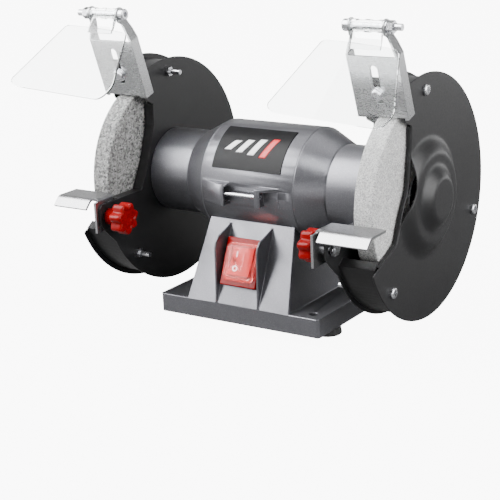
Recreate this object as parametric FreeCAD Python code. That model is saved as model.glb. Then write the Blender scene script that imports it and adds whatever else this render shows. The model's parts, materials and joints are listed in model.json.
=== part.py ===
import FreeCAD, Part
import math
import os

# Bench grinder with two 150 mm wheels. Millimetres, +Z up, X along the shaft, the front faces -Y.
# The origin is the middle of the two bench-bolt holes, on the top face of the base plate.
V = FreeCAD.Vector
AXIS_X = V(1, 0, 0)

# Driving dimensions
SHAFT_Z = 85.6
BASE_HALF_X = 73.7
BASE_HALF_Y = 65.1
BASE_DEPTH = 15.3
BASE_WALL = 3.0
BOLT_X = 63.0
BOLT_Y = 54.5
BOLT_HOLE_R = 3.5
FOOT_X = 62.5
FOOT_Y = 33.0
FOOT_R = 11.0
FOOT_HEIGHT = 7.1
PED_HALF_X_LOW = 47.2
PED_HALF_X_TOP = 39.4
PED_HALF_Y_TOP = 39.4
PED_TOP_Z = 59.5
PED_WALL = 3.5
DRUM_R = 45.6
DRUM_WALL = 4.0
DRUM_HALF = 41.9
CONE_END = 63.5
NECK_R = 34.0
WHEEL_R = 75.0
WHEEL_IN = 111.6
WHEEL_OUT = 127.5
ARBOR_R = 6.35
GUARD_IN = 101.4
GUARD_OUT = 132.6
SHEET = 1.2
PLATE_R = 92.3
COVER_R = 93.4
STRIP_R = 88.9
GUARD_MID = 0.5 * (GUARD_IN + GUARD_OUT)
COVER_SCREW_R = 81.5
COVER_SCREW_ANGLES = (88.0, -45.0, 200.0)
BRACKET_TILT = 18.46
BRACKET_Y = -38.0
BRACKET_Z = SHAFT_Z + 65.7
BRACKET_HALF = 20.5
BRACKET_HEIGHT = 50.0
BRACKET_SHEET = 1.6
SLOT_LOW = 12.0
SLOT_HIGH = 42.3
SPARK_SCREW_S = 20.5
PIVOT_S = 71.5
PIVOT_D = 3.9
SHIELD_TILT = {"right": 74.0, "left": 58.0}
SHIELD_THICK = 2.5
REST_TOP = SHAFT_Z - 3.0
REST_BACK = -80.5
REST_FRONT = -102.0
REST_OUTER = 141.0
REST_SHEET = 2.0
FLANGE_AHEAD = {"right": 5.0, "left": 0.8}
STUD_Y = -89.5
STUD_Z = SHAFT_Z - 19.0
STUD_R = 3.0
KNOB_R = 13.2
GAP = 0.05

parts = {}


def box(x0, x1, y0, y1, z0, z1):
    return Part.makeBox(x1 - x0, y1 - y0, z1 - z0, V(x0, y0, z0))


def rod_x(r, x0, x1, y, z):
    return Part.makeCylinder(r, x1 - x0, V(x0, y, z), AXIS_X)


def rod_z(r, x, y, z0, z1):
    return Part.makeCylinder(r, z1 - z0, V(x, y, z0), V(0, 0, 1))


def rod_y(r, x, z, y0, y1):
    return Part.makeCylinder(r, y1 - y0, V(x, y0, z), V(0, 1, 0))


def fuse(shapes):
    return shapes[0].multiFuse(shapes[1:]).removeSplitter()


def prism_x(points, x0, x1):
    # a flat outline of (y, z) points, drawn at x0 and pushed to x1
    ring = [V(x0, y, z) for y, z in points]
    ring.append(ring[0])
    return Part.Face(Part.makePolygon(ring)).extrude(V(x1 - x0, 0, 0))


def revolve_x(points, y=0.0, z=SHAFT_Z):
    # (x, r) points turned once round the line along X through (y, z)
    ring = [V(px, y, z + pr) for px, pr in points]
    ring.append(ring[0])
    return Part.Face(Part.makePolygon(ring)).revolve(V(0, y, z), AXIS_X, 360)


def hexagon_x(across_flats, x0, x1, y, z):
    r = across_flats / math.sqrt(3)
    steps = [math.radians(60 * i) for i in range(6)]
    return prism_x([(y + r * math.cos(a), z + r * math.sin(a)) for a in steps], x0, x1)


def polar(r, degrees_up):
    # a point in the wheel's plane: degrees_up counts from the front, upwards
    a = math.radians(degrees_up)
    return -r * math.cos(a), SHAFT_Z + r * math.sin(a)


def mirrored(shape):
    return shape.mirror(V(0, 0, 0), AXIS_X)


def tilt(shape, degrees, y, z):
    # drawn about the X axis, then turned and moved to its place
    turned = shape.copy()
    turned.rotate(V(0, 0, 0), AXIS_X, degrees)
    turned.translate(V(0, y, z))
    return turned


def group(shapes):
    return Part.makeCompound(shapes)


def both_sides(shape):
    return group([shape, mirrored(shape)])


# Base and pedestal

PANEL_TILT = math.degrees(math.atan2(PED_TOP_Z, BASE_HALF_Y - PED_HALF_Y_TOP))
SWITCH_S = 33.5
SWITCH_Y = -BASE_HALF_Y + SWITCH_S * math.cos(math.radians(PANEL_TILT))
SWITCH_Z = SWITCH_S * math.sin(math.radians(PANEL_TILT))
SWITCH_BODY = (28.0, 33.0)
SADDLE_WALL = 3.4
MOTOR_SCREWS = [(-24, -20), (24, -20), (-24, 20), (24, 20)]
MOTOR_SCREW_R = 2.4
WIRE_HOLE_R = 6.0
FEET = [(sx * FOOT_X, sy * FOOT_Y) for sx in (-1, 1) for sy in (-1, 1)]
GLAND_Z = -8.4
GLAND_X = -30.0


def pedestal_block(inset, low_z):
    def ring(half_x, half_y, z):
        corners = [V(-half_x, -half_y, z), V(half_x, -half_y, z),
                   V(half_x, half_y, z), V(-half_x, half_y, z)]
        return Part.makePolygon(corners + corners[:1])

    low = ring(PED_HALF_X_LOW - inset, BASE_HALF_Y - inset, 0)
    rise = (PED_TOP_Z + 6) / PED_TOP_Z
    top_x = PED_HALF_X_LOW - (PED_HALF_X_LOW - PED_HALF_X_TOP) * rise
    top_y = BASE_HALF_Y - (BASE_HALF_Y - PED_HALF_Y_TOP) * rise
    top = ring(top_x - inset, top_y - inset, PED_TOP_Z + 6)
    block = Part.makeLoft([low, top], True)
    if low_z < 0:
        block = block.fuse(box(-PED_HALF_X_LOW + inset, PED_HALF_X_LOW - inset,
                               -BASE_HALF_Y + inset, BASE_HALF_Y - inset, low_z, 0))
    return block


def switch_fin(side):
    outline = [(-38.5, 57.0), (-40.1, 57.9), (-58.9, 52.0), (-62.2, 48.6), (-63.6, 44.0), (-65.0, 8.0),
               (-65.0, 0.5), (-60.0, 0.5)]
    return prism_x(outline, side * 19.3 - 0.9, side * 19.3 + 0.9)


def vertical_edges(shape):
    return [e for e in shape.Edges if abs(e.tangentAt(e.FirstParameter).z) > 0.99]


def base_housing():
    plate = box(-BASE_HALF_X, BASE_HALF_X, -BASE_HALF_Y, BASE_HALF_Y, -BASE_DEPTH, 0)
    plate = plate.makeFillet(2.5, vertical_edges(plate))
    hollow = box(-BASE_HALF_X + BASE_WALL, BASE_HALF_X - BASE_WALL, -BASE_HALF_Y + BASE_WALL,
                 BASE_HALF_Y - BASE_WALL, -BASE_DEPTH - 1, -BASE_WALL)
    body = plate.cut(hollow).fuse(pedestal_block(0, 0))
    body = body.multiFuse([switch_fin(-1), switch_fin(1)])
    body = body.cut(rod_x(DRUM_R + GAP, -60, 60, 0, SHAFT_Z))
    inside = pedestal_block(PED_WALL, -BASE_WALL - 1).cut(rod_x(DRUM_R + SADDLE_WALL, -60, 60, 0, SHAFT_Z))
    body = body.cut(inside)
    bosses = [rod_z(6.0, x, y, -BASE_DEPTH + 1.5, -BASE_WALL + 0.5) for x, y in FEET]
    body = body.multiFuse(bosses)
    cuts = [rod_z(BOLT_HOLE_R, s * BOLT_X, -s * BOLT_Y, -BASE_WALL - 2, 2) for s in (-1, 1)]
    cuts += [rod_z(1.9, x, y, -BASE_DEPTH, -BASE_WALL - 1) for x, y in FEET]
    cuts += [rod_z(MOTOR_SCREW_R + 0.3, x, y, 20, 60) for x, y in MOTOR_SCREWS]
    cuts.append(rod_z(WIRE_HOLE_R, 0, 0, 20, 60))
    cuts.append(rod_y(5.0, GLAND_X, GLAND_Z, BASE_HALF_Y - 6, BASE_HALF_Y + 2))
    opening = box(-SWITCH_BODY[0] / 2 - 0.2, SWITCH_BODY[0] / 2 + 0.2, -SWITCH_BODY[1] / 2 - 0.2,
                  SWITCH_BODY[1] / 2 + 0.2, -12, 3)
    cuts.append(tilt(opening, PANEL_TILT, SWITCH_Y, SWITCH_Z))
    for cut in cuts:
        body = body.cut(cut)
    return body.removeSplitter()


def bottom_plate():
    edge = BASE_WALL + 0.3
    plate = box(-BASE_HALF_X + edge, BASE_HALF_X - edge, -BASE_HALF_Y + edge, BASE_HALF_Y - edge,
                -BASE_DEPTH, -BASE_DEPTH + 1.5)
    for x, y in FEET:
        plate = plate.cut(rod_z(2.3, x, y, -BASE_DEPTH - 1, -BASE_DEPTH + 2))
    for s in (-1, 1):
        hole = rod_z(BOLT_HOLE_R + 3, s * BOLT_X, -s * BOLT_Y, -BASE_DEPTH - 1, -BASE_DEPTH + 2)
        plate = plate.cut(hole)
    return plate


def rubber_foot(x, y):
    low = -BASE_DEPTH - FOOT_HEIGHT
    foot = Part.makeCone(FOOT_R, FOOT_R - 1.2, FOOT_HEIGHT, V(x, y, low))
    foot = foot.makeFillet(1.2, [e for e in foot.Edges if abs(e.BoundBox.ZMax - low) < 0.01])
    foot = foot.cut(rod_z(4.6, x, y, low - 1, low + 3.6))
    return foot.cut(rod_z(2.3, x, y, low, 0))


def foot_screw(x, y):
    head_z = -BASE_DEPTH - FOOT_HEIGHT + 3.6
    head = rod_z(3.8, x, y, head_z - 2.6, head_z)
    head = head.cut(box(x - 3, x + 3, y - 0.5, y + 0.5, head_z - 3, head_z - 1.6))
    return head.fuse(rod_z(1.8, x, y, head_z, -BASE_WALL - 2))


def cable_gland():
    profile = [(-8.0, 3.3), (-8.0, 5.2), (-3.2, 5.2), (-3.2, 4.9), (0.1, 4.9), (0.1, 6.3), (2.4, 6.3),
               (9.0, 4.8), (9.0, 3.3)]
    ring = [V(r, y, 0) for y, r in profile]
    ring.append(ring[0])
    gland = Part.Face(Part.makePolygon(ring)).revolve(V(0, 0, 0), V(0, 1, 0), 360)
    gland.translate(V(GLAND_X, BASE_HALF_Y, GLAND_Z))
    return gland


# Switch, drawn flat: X across, Y up the slope of the panel, Z out of the panel

BEZEL = (33.0, 38.0)
BEZEL_H = 5.0
BOOT = (23.5, 27.0)
BOOT_TOP = 12.6
ROCKER_AXIS_H = 1.5


def centred(width, length, z0, z1):
    return box(-width / 2, width / 2, -length / 2, length / 2, z0, z1)


def on_panel(shape):
    return tilt(shape, PANEL_TILT, SWITCH_Y, SWITCH_Z)


def switch_body():
    body = centred(SWITCH_BODY[0], SWITCH_BODY[1], -19, 0)
    body = body.cut(centred(21.6, 27.6, -7, 1))
    blades = [box(x - 0.4, x + 0.4, y - 3, y + 3, -27, -19) for x in (-8, 8) for y in (-9, 9)]
    return on_panel(fuse([body] + blades))


def switch_bezel():
    outer = centred(BEZEL[0], BEZEL[1], 0.02, BEZEL_H)
    outer = outer.makeFillet(1.2, vertical_edges(outer))
    outer = outer.makeFillet(0.8, [e for e in outer.Edges if e.BoundBox.ZMin > BEZEL_H - 0.01])
    return on_panel(outer.cut(centred(21.6, 25.2, -1, BEZEL_H + 1)))


def switch_boot():
    skirt = centred(BOOT[0] + 4, BOOT[1] + 4, BEZEL_H + 0.02, BEZEL_H + 0.8)
    dome = centred(BOOT[0], BOOT[1], BEZEL_H + 0.5, BOOT_TOP)
    dome = dome.makeFillet(2.0, vertical_edges(dome))
    dome = dome.makeFillet(1.0, [e for e in dome.Edges if e.BoundBox.ZMin > BOOT_TOP - 0.01])
    boot = fuse([skirt, dome])
    return on_panel(boot.cut(centred(BOOT[0] - 2, BOOT[1] - 2, BEZEL_H - 1, BOOT_TOP - 1)))


def switch_rocker():
    # two flats that meet in a shallow valley; it rests with its upper half pressed in
    half, width = 11.6, 19.5
    outline = [(-half, 4.6), (0, 3.4), (half, 4.6), (half - 1.5, -2.5),
               (3, -4.5), (-3, -4.5), (-half + 1.5, -2.5)]
    ring = [V(-width / 2, y, z) for y, z in outline]
    ring.append(ring[0])
    rocker = Part.Face(Part.makePolygon(ring)).extrude(V(width, 0, 0))
    rocker.rotate(V(0, 0, 0), AXIS_X, -9)
    rocker.translate(V(0, 0, ROCKER_AXIS_H))
    return on_panel(rocker)


# Wiring parts on the bottom plate

CAPACITOR_R = 14.0
CAPACITOR_Y = 24.0
FLOOR_Z = -BASE_DEPTH + 1.5


def run_capacitor():
    z = FLOOR_Z + CAPACITOR_R + 0.9
    can = rod_x(CAPACITOR_R, -26, 26, CAPACITOR_Y, z)
    can = can.makeFillet(1.5, [e for e in can.Edges if e.Length > 80])
    tabs = [box(26, 33, CAPACITOR_Y + s - 0.4, CAPACITOR_Y + s + 0.4, z - 3, z + 3) for s in (-5, 5)]
    return fuse([can] + tabs)


def capacitor_clip():
    z = FLOOR_Z + CAPACITOR_R + 0.9
    band = rod_x(CAPACITOR_R + 0.8, -6, 6, CAPACITOR_Y, z)
    band = band.cut(rod_x(CAPACITOR_R + GAP, -7, 7, CAPACITOR_Y, z))
    foot = box(-6, 6, CAPACITOR_Y - 24, CAPACITOR_Y + 1, FLOOR_Z, FLOOR_Z + 0.8)
    return fuse([band, foot])


def terminal_block():
    block = box(-20, 20, -26, -12, FLOOR_Z, FLOOR_Z + 12)
    for i in range(5):
        block = block.cut(rod_z(2.2, -16 + 8 * i, -19, FLOOR_Z + 5, FLOOR_Z + 13))
    return block


# Motor

STATOR_R = DRUM_R - DRUM_WALL - GAP
STATOR_HALF = 24.0
ROTOR_R = 22.0
BEARING_IN = 87.0
BEARING_OUT = 98.0
BEARING_R = 17.5
SHAFT_BEARING_R = 7.5
LUG_Y = -54.0
ROD_Y = -51.0
ROD_Z = SHAFT_Z - 0.6
LUG_LEFT = -16.0
LUG_RIGHT = 12.5
ROD_R = 1.5
ROD_ENDS = (LUG_LEFT - 4.8, LUG_RIGHT + 4.5)


def lug(x_face, x_far, z0, z1):
    # a wedge that rises out of the drum towards its open face at x_face
    flat_end = x_face + math.copysign(3, x_far - x_face)
    ring = [V(x_face, -40, z0), V(x_face, LUG_Y, z0), V(flat_end, LUG_Y, z0),
            V(x_far, -44.2, z0), V(x_far, -40, z0)]
    ring.append(ring[0])
    return Part.Face(Part.makePolygon(ring)).extrude(V(0, 0, z1 - z0))


def motor_housing():
    drum = rod_x(DRUM_R, -DRUM_HALF, DRUM_HALF, 0, SHAFT_Z)
    left = lug(LUG_LEFT, -40.5, SHAFT_Z - 10, SHAFT_Z + 7)
    right = lug(LUG_RIGHT, 31.5, SHAFT_Z - 9, SHAFT_Z + 6)
    pocket = lug(LUG_LEFT + 1, -33, SHAFT_Z - 7.5, SHAFT_Z + 4.5)
    pocket.translate(V(0, 2.2, 0))
    pocket = pocket.cut(rod_x(ROD_R + 1.4, -45, LUG_LEFT - 3.4, ROD_Y, ROD_Z))
    pocket_right = lug(LUG_RIGHT + 3.2, 33, SHAFT_Z - 10, SHAFT_Z + 3.6)
    pocket_right.translate(V(0, 1.2, 0))
    body = fuse([drum, left.cut(pocket), right.cut(pocket_right)])
    body = body.cut(rod_x(DRUM_R - DRUM_WALL, -50, 50, 0, SHAFT_Z))
    body = body.cut(rod_x(ROD_R + 0.1, ROD_ENDS[0] - 0.1, ROD_ENDS[1] + 0.5, ROD_Y, ROD_Z))
    for x, y in MOTOR_SCREWS:
        body = body.cut(rod_z(MOTOR_SCREW_R, x, y, 30, 60))
    for sx in (-1, 1):
        body = body.cut(rod_y(2.1, sx * (DRUM_HALF - 3), SHAFT_Z, 35, 50))
    return body.cut(rod_z(WIRE_HOLE_R, 0, 0, 30, 60))


def motor_screw(x, y):
    saddle = SHAFT_Z - math.sqrt((DRUM_R + SADDLE_WALL) ** 2 - y ** 2)
    inner = abs(y) - 4.5
    seat = SHAFT_Z - math.sqrt((DRUM_R + SADDLE_WALL) ** 2 - inner ** 2)
    top = SHAFT_Z - math.sqrt((DRUM_R - DRUM_WALL) ** 2 - (abs(y) - MOTOR_SCREW_R) ** 2)
    head = rod_z(4.0, x, y, min(saddle, seat) - 4.2, min(saddle, seat) - 0.2)
    return head.fuse(rod_z(MOTOR_SCREW_R - 0.05, x, y, min(saddle, seat) - 1, top - 0.6))


def nameplate():
    plate = rod_x(DRUM_R + 0.7, -33, 30, 0, SHAFT_Z).cut(rod_x(DRUM_R + 0.02, -34, 31, 0, SHAFT_Z))
    reach = 80
    wedge = [(0, SHAFT_Z)] + [polar(reach, a) for a in (21.5, 46.5, 71.5)]
    return plate.common(prism_x(wedge, -40, 40))


def end_bell():
    outer = [(DRUM_HALF - 6, 38.0), (DRUM_HALF - 6, STATOR_R), (DRUM_HALF, STATOR_R), (DRUM_HALF, DRUM_R),
             (CONE_END, NECK_R + 0.8), (CONE_END, NECK_R), (GUARD_IN, NECK_R), (GUARD_IN, 11.5),
             (BEARING_OUT + 0.2, 11.5), (BEARING_OUT + 0.2, BEARING_R), (BEARING_IN, BEARING_R),
             (BEARING_IN, 22.0), (BEARING_OUT - 0.4, 22.0), (BEARING_OUT - 0.4, 30.2), (CONE_END, 30.2),
             (CONE_END - 1, 31.0), (DRUM_HALF + 2, 38.0)]
    bell = revolve_x(outer)
    bosses = []
    holes = []
    for a in (90, 210, 330):
        y, z = polar(26.5, a)
        bosses.append(rod_x(4.2, BEARING_IN + 2, BEARING_OUT + 1, y, z))
        holes.append(rod_x(2.0, BEARING_IN + 3, GUARD_IN + 1, y, z))
    bell = fuse([bell] + bosses)
    for hole in holes:
        bell = bell.cut(hole)
    return bell.cut(rod_y(2.0, DRUM_HALF - 3, SHAFT_Z, 30, 50))


def bell_screw():
    shank = rod_y(1.95, DRUM_HALF - 3, SHAFT_Z, 39, DRUM_R + 0.3)
    head = rod_y(3.8, DRUM_HALF - 3, SHAFT_Z, DRUM_R + 0.15, DRUM_R + 2.2)
    return shank.fuse(head)


def stator_core():
    core = rod_x(STATOR_R, -STATOR_HALF, STATOR_HALF, 0, SHAFT_Z)
    core = core.cut(rod_x(ROTOR_R + 0.5, -50, 50, 0, SHAFT_Z))
    slot = box(-50, 50, -2.6, 2.6, 24.5, 34.5)
    mouth = box(-50, 50, -1, 1, 20, 25)
    cutter = fuse([slot, mouth])
    for i in range(12):
        turned = cutter.copy()
        turned.rotate(V(0, 0, 0), AXIS_X, 30 * i)
        turned.translate(V(0, 0, SHAFT_Z))
        core = core.cut(turned)
    return core


def stator_windings():
    solids = []
    for i in range(12):
        bar = box(-STATOR_HALF - 1, STATOR_HALF + 1, -2.3, 2.3, 25, 34)
        bar.rotate(V(0, 0, 0), AXIS_X, 30 * i)
        bar.translate(V(0, 0, SHAFT_Z))
        solids.append(bar)
    ends = revolve_x([(STATOR_HALF + 0.6, 24.5), (STATOR_HALF + 10, 25.5), (STATOR_HALF + 12, 29),
                      (STATOR_HALF + 10, 34.5), (STATOR_HALF + 0.6, 35.5)])
    return fuse(solids + [ends, mirrored(ends)])


def rotor_core():
    core = rod_x(ROTOR_R, -STATOR_HALF, STATOR_HALF, 0, SHAFT_Z)
    ring = rod_x(ROTOR_R - 3, STATOR_HALF - 0.5, STATOR_HALF + 6, 0, SHAFT_Z)
    core = fuse([core, ring, mirrored(ring)])
    return core.cut(rod_x(9.0 + 0.01, -50, 50, 0, SHAFT_Z))


def motor_shaft():
    profile = [(0, 0), (0, 9.0), (BEARING_IN - 4, 9.0), (BEARING_IN - 4, SHAFT_BEARING_R),
               (104.8, SHAFT_BEARING_R), (104.8, ARBOR_R), (141.2, ARBOR_R), (142.0, ARBOR_R - 0.8),
               (142.0, 0)]
    half = revolve_x(profile)
    return fuse([half, mirrored(half)])


def bearing_ring(inner_r, outer_r, groove_r):
    ring = revolve_x([(BEARING_IN, inner_r), (BEARING_IN, outer_r),
                      (BEARING_OUT, outer_r), (BEARING_OUT, inner_r)])
    mid = 0.5 * (BEARING_IN + BEARING_OUT)
    groove = Part.makeTorus(12.5, groove_r, V(mid, 0, SHAFT_Z), AXIS_X)
    return ring.cut(groove)


def bearing_balls():
    mid = 0.5 * (BEARING_IN + BEARING_OUT)
    balls = []
    for i in range(8):
        y, z = polar(12.5, 45 * i)
        balls.append(Part.makeSphere(3.0, V(mid, y, z)))
    return group(balls + [mirrored(b) for b in balls])


# Wheels and what clamps them


def wheel():
    edge = 0.8
    profile = [(WHEEL_IN, ARBOR_R + 0.1), (WHEEL_IN, WHEEL_R - edge), (WHEEL_IN + edge, WHEEL_R),
               (WHEEL_OUT - edge, WHEEL_R), (WHEEL_OUT, WHEEL_R - edge), (WHEEL_OUT, ARBOR_R + 0.1)]
    return revolve_x(profile)


def washer_x(outer_r, inner_r, x0, x1):
    return revolve_x([(x0, inner_r), (x0, outer_r), (x1, outer_r), (x1, inner_r)])


def inner_flange():
    bore = ARBOR_R + 0.05
    return revolve_x([(104.8, bore), (104.8, 15), (107.5, 25), (110.8, 25), (110.8, 19),
                      (110.2, 19), (110.2, bore)])


def outer_flange():
    bore = ARBOR_R + 0.05
    return revolve_x([(128.3, 19), (128.3, 25), (130.2, 25), (132, 15), (132, bore),
                      (128.9, bore), (128.9, 19)])


def arbor_nut():
    nut = hexagon_x(19, 132, 140, 0, SHAFT_Z)
    return nut.cut(rod_x(ARBOR_R + 0.02, 130, 145, 0, SHAFT_Z))


# Wheel guards

CUT_UPPER = [(-45.1, SHAFT_Z + 94.9), (-34.5, SHAFT_Z + 63.2), (-24.5, SHAFT_Z + 58.5)]
COVER_CUT = CUT_UPPER + [(-25.5, SHAFT_Z + 41), (-30.2, SHAFT_Z + 13), (-40, SHAFT_Z - 3),
                         (-49, SHAFT_Z - 23), (-61, SHAFT_Z - 28.5), (-75, SHAFT_Z - 33.5),
                         (-93, SHAFT_Z - 39.5)]
TAB_TOP = SHAFT_Z - 8.0
TAB_FRONT = -100.0
PLATE_CUT = CUT_UPPER + [(-25, SHAFT_Z + 41), (-34.5, SHAFT_Z + 14), (-46.5, TAB_TOP), (-130, TAB_TOP)]
COVER_BAND = 4.0
PLATE_BAND = 8.0
STRIP_END = 117.1
STRIP_LOW_END = -22.5


def shifted(points, distance):
    # the same open line moved sideways, to its left, with mitred corners
    moved = []
    for i, (y, z) in enumerate(points):
        before = points[max(i - 1, 0)]
        after = points[min(i + 1, len(points) - 1)]
        normals = []
        for a, b in ((before, (y, z)), ((y, z), after)):
            length = math.hypot(b[0] - a[0], b[1] - a[1])
            if length > 0:
                normals.append((-(b[1] - a[1]) / length, (b[0] - a[0]) / length))
        ny = sum(n[0] for n in normals)
        nz = sum(n[1] for n in normals)
        size = ny * ny + nz * nz
        scale = distance * 2 / size if len(normals) == 2 else distance
        moved.append((y + ny * scale, z + nz * scale))
    return moved


def front_cutter(line, x0, x1):
    outside = [(-180, line[-1][1]), (-180, SHAFT_Z + 120), (line[0][0] - 8, SHAFT_Z + 120)]
    return prism_x(line + outside, x0, x1)


def edge_band(line, r, x0, x1):
    band = prism_x(line + shifted(line, SHEET)[::-1], x0, x1)
    return band.common(rod_x(r, x0 - 1, x1 + 1, 0, SHAFT_Z))


def guard_strip():
    width = GUARD_OUT - GUARD_IN - 2 * SHEET
    ring = Part.makeCylinder(STRIP_R, width, V(GUARD_IN + SHEET, 0, SHAFT_Z), AXIS_X)
    ring = ring.cut(rod_x(STRIP_R - SHEET, 90, 140, 0, SHAFT_Z))
    start = 180 - STRIP_END
    steps = [start + i * (STRIP_LOW_END - start) / 8 for i in range(9)]
    wedge = [(0, SHAFT_Z)] + [polar(200, a) for a in steps]
    return ring.cut(prism_x(wedge, 90, 140))


def strip_lip():
    y0, z0 = polar(STRIP_R, STRIP_LOW_END - 0.1)
    y1, z1 = polar(81.0, STRIP_LOW_END + 0.9)
    line = [(y0, z0), (y1, z1)]
    return prism_x(line + shifted(line, -SHEET)[::-1], GUARD_IN + SHEET, GUARD_OUT - SHEET)


def spark_flange():
    # the strip's upper end, turned out flat behind the spark bracket
    d = BRACKET_SHEET + 0.1
    flange = box(GUARD_IN + SHEET, GUARD_OUT - SHEET, d, d + SHEET, 11.8, 32)
    flange = flange.cut(rod_y(2.8, GUARD_MID, SPARK_SCREW_S, -5, 9))
    return tilt(flange, BRACKET_TILT, BRACKET_Y, BRACKET_Z)


def rest_tab():
    outline = [(-46.5, TAB_TOP), (TAB_FRONT + 3, TAB_TOP), (TAB_FRONT, TAB_TOP - 3),
               (TAB_FRONT, SHAFT_Z - 24), (TAB_FRONT + 6, SHAFT_Z - 31), (-80, SHAFT_Z - 44),
               (-60, SHAFT_Z - 55), (-40, SHAFT_Z - 30)]
    return prism_x(outline, GUARD_IN, GUARD_IN + SHEET)


def inner_guard():
    disc = rod_x(PLATE_R, GUARD_IN, GUARD_IN + SHEET, 0, SHAFT_Z)
    disc = disc.cut(front_cutter(PLATE_CUT, GUARD_IN - 1, GUARD_IN + SHEET + 1))
    band = edge_band(PLATE_CUT[2:6] + [(-76, TAB_TOP)], PLATE_R,
                     GUARD_IN + 0.1, GUARD_IN + PLATE_BAND + SHEET)
    guard = fuse([disc, rest_tab(), band, guard_strip(), strip_lip(), spark_flange()])
    cuts = [rod_x(16, 90, 110, 0, SHAFT_Z)]
    slot_front = rod_x(STUD_R + 0.3, 90, 110, STUD_Y - 3.2, STUD_Z)
    slot_back = rod_x(STUD_R + 0.3, 90, 110, STUD_Y + 4.7, STUD_Z)
    slot_mid = box(90, 110, STUD_Y - 3.2, STUD_Y + 4.7, STUD_Z - STUD_R - 0.3, STUD_Z + STUD_R + 0.3)
    cuts += [slot_front, slot_back, slot_mid]
    cuts += [rod_x(2.2, 90, 110, *polar(26.5, a)) for a in (90, 210, 330)]
    cuts += [rod_x(2.2, 90, 110, *polar(COVER_SCREW_R, a)) for a in COVER_SCREW_ANGLES]
    for cut in cuts:
        guard = guard.cut(cut)
    return guard


def outer_cover():
    x = GUARD_OUT
    outer = [(x - SHEET, 0), (x - SHEET, COVER_R), (x, COVER_R), (x, 46), (x + 2.2, 42.5), (x + 6.2, 36),
             (x + 7, 33.5), (x + 7, 26), (x + 8.6, 23.5), (x + 12.6, 19), (x + 13.4, 16.5), (x + 13.4, 0)]
    inner = [(x - 2 * SHEET, 0), (x - 2 * SHEET, 80), (x - SHEET, 80), (x - SHEET, 45.2), (x + 1.2, 41.6),
             (x + 5.2, 35), (x + 5.8, 32.8), (x + 5.8, 25.2), (x + 7.7, 22.4), (x + 11.6, 18),
             (x + 12.2, 16), (x + 12.2, 0)]
    cover = revolve_x(outer).cut(revolve_x(inner))
    cover = cover.cut(front_cutter(COVER_CUT, x - 3, x + 1))
    band = edge_band(COVER_CUT[2:9], COVER_R, x - COVER_BAND, x - 0.1)
    band_low = x - COVER_BAND + 0.1
    keep_clear = revolve_x([(x - 9, 0), (x - 9, 86), (band_low, 86), (band_low, 0)])
    cover = fuse([cover, band.cut(keep_clear)])
    for a in COVER_SCREW_ANGLES:
        cover = cover.cut(rod_x(2.2, x - 5, x + 5, *polar(COVER_SCREW_R, a)))
    return cover


def cover_screw(angle):
    y, z = polar(COVER_SCREW_R, angle)
    shank = rod_x(2.0, GUARD_IN - 13, GUARD_OUT + 0.5, y, z)
    head = Part.makeCylinder(4.2, 2.6, V(GUARD_OUT + 0.02, y, z), AXIS_X)
    head = head.makeFillet(1.4, [e for e in head.Edges if e.BoundBox.XMin > GUARD_OUT + 2])
    cross = fuse([box(GUARD_OUT + 1.5, GUARD_OUT + 4, y - 2.2, y + 2.2, z - 0.4, z + 0.4),
                  box(GUARD_OUT + 1.5, GUARD_OUT + 4, y - 0.4, y + 0.4, z - 2.2, z + 2.2)])
    return fuse([shank, head]).cut(cross)


def cover_nut(angle):
    y, z = polar(COVER_SCREW_R, angle)
    return hexagon_x(7, GUARD_IN - 3.3, GUARD_IN - 0.02, y, z).cut(rod_x(2.02, 90, 110, y, z))


def guard_screw(angle):
    y, z = polar(26.5, angle)
    shank = rod_x(1.95, BEARING_IN + 5, GUARD_IN + SHEET + 0.5, y, z)
    head = rod_x(3.4, GUARD_IN + SHEET + 0.02, GUARD_IN + SHEET + 1.8, y, z)
    return fuse([shank, head])


# Spark bracket, drawn upright: Y backwards from the face of its web, Z up the web


def at_bracket(shape):
    return tilt(shape, BRACKET_TILT, BRACKET_Y, BRACKET_Z)


def slanted_ear(side):
    # from the top of the channel's flange in to the pivot bolt
    x_low = GUARD_MID + side * BRACKET_HALF
    x_top = GUARD_MID + side * 14.6
    lean = (x_top - x_low) / (PIVOT_S - 4.5 - BRACKET_HEIGHT)
    outline = [(0, BRACKET_HEIGHT), (1.6, 64), (PIVOT_D - 4.6, PIVOT_S - 4.5),
               (PIVOT_D + 4.6, PIVOT_S - 4.5), (10, 58), (10, BRACKET_HEIGHT)]
    ring = [V(x_low + lean * (z - BRACKET_HEIGHT), y, z) for y, z in outline]
    ring.append(ring[0])
    arm = Part.Face(Part.makePolygon(ring)).extrude(V(-side * BRACKET_SHEET, 0, 0))
    x0, x1 = sorted((x_top, x_top - side * BRACKET_SHEET))
    eye = fuse([rod_x(5.5, x0, x1, PIVOT_D, PIVOT_S),
                box(x0, x1, PIVOT_D - 4.6, PIVOT_D + 4.6, PIVOT_S - 5, PIVOT_S - 3)])
    return fuse([arm, eye])


def spark_bracket():
    x0 = GUARD_MID - BRACKET_HALF
    x1 = GUARD_MID + BRACKET_HALF
    t = BRACKET_SHEET
    web = box(x0, x1, 0, t, 0, BRACKET_HEIGHT)
    web = web.cut(box(x0 + 7, x1 - 3, -1, t + 1, -1, 1.5))
    web = web.cut(box(x0 + 2.5, x1 - 2.5, -1, t + 1, BRACKET_HEIGHT - 0.6, BRACKET_HEIGHT + 1))
    flanges = [box(x, x + t, 0, 10, 0, BRACKET_HEIGHT + 0.01) for x in (x0, x1 - t)]
    bracket = fuse([web] + flanges + [slanted_ear(-1), slanted_ear(1)])
    r = 2.9
    slot = fuse([rod_y(r, GUARD_MID, SLOT_LOW + r, -2, 4), rod_y(r, GUARD_MID, SLOT_HIGH - r, -2, 4),
                 box(GUARD_MID - r, GUARD_MID + r, -2, 4, SLOT_LOW + r, SLOT_HIGH - r)])
    bracket = bracket.cut(slot).cut(rod_x(2.53, 90, 145, PIVOT_D, PIVOT_S))
    return at_bracket(bracket)


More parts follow.
